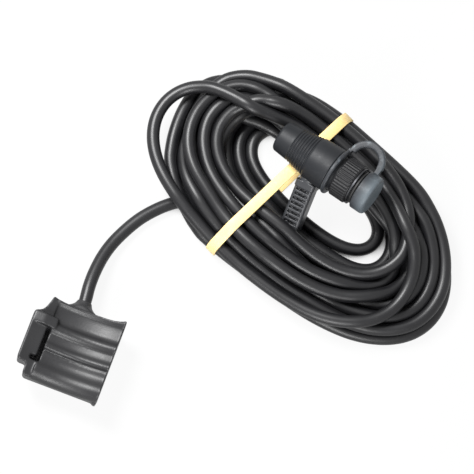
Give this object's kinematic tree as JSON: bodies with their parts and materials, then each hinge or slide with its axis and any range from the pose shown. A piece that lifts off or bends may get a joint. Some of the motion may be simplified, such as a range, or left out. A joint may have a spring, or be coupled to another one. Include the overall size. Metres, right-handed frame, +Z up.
{
  "type": "sonar transducer",
  "caption": "Black strap-on sonar transducer head with a ridged saddle and strap lug, its banded coil of cable and a round capped plug.",
  "frame": {"origin": "centre of the head's outline on the flat acoustic face, on the surface it lies on", "axes": "+Z up away from the acoustic face, +Y along the motor, the way the cable leaves, +X across the saddle away from the strap lug"},
  "size_m": [0.1895, 0.1873, 0.0478],
  "materials": {
    "housing": "satin moulded",
    "window": "smooth",
    "ceramic": "silvered ceramic",
    "cork": "fine cork",
    "resin": "cast resin",
    "wire": "insulated wire",
    "brass": "plain",
    "jacket": "satin jacket",
    "band": "natural rubber",
    "plug_black": "matt moulded",
    "carrier": "moulded",
    "seal": "matt",
    "ring_black": "ribbed",
    "clip": "spring steel",
    "boot": "slotted",
    "cap_grey": "matt blue grey"
  },
  "bodies": {
    "transducer": {"housing": "housing", "acoustic_window": "window", "piezo_disc": "ceramic", "isolation_sleeve": "cork", "backing_pad": "cork", "potting_fill": "resin", "signal_wires": "wire", "crimp_ring": "brass", "cable_lead": "jacket", "cable_coil": "jacket", "cable_tail": "jacket", "rubber_band": "band", "plug_shell": "plug_black", "contact_carrier": "carrier", "contact_pins": "brass", "plug_wires": "wire", "seal_ring": "seal", "retaining_clip": "clip", "cable_boot": "boot", "dust_cap": "cap_grey"},
    "plug_ring": {"coupling_ring": "ring_black"}
  },
  "joints": [
    {"name": "coupling_ring_turn", "type": "hinge", "parent": "transducer", "child": "plug_ring", "pos_m": [0.09822, 0.12248, 0.03554], "axis": [0.948, -0.2772, 0.1564], "continuous": true}
  ]
}
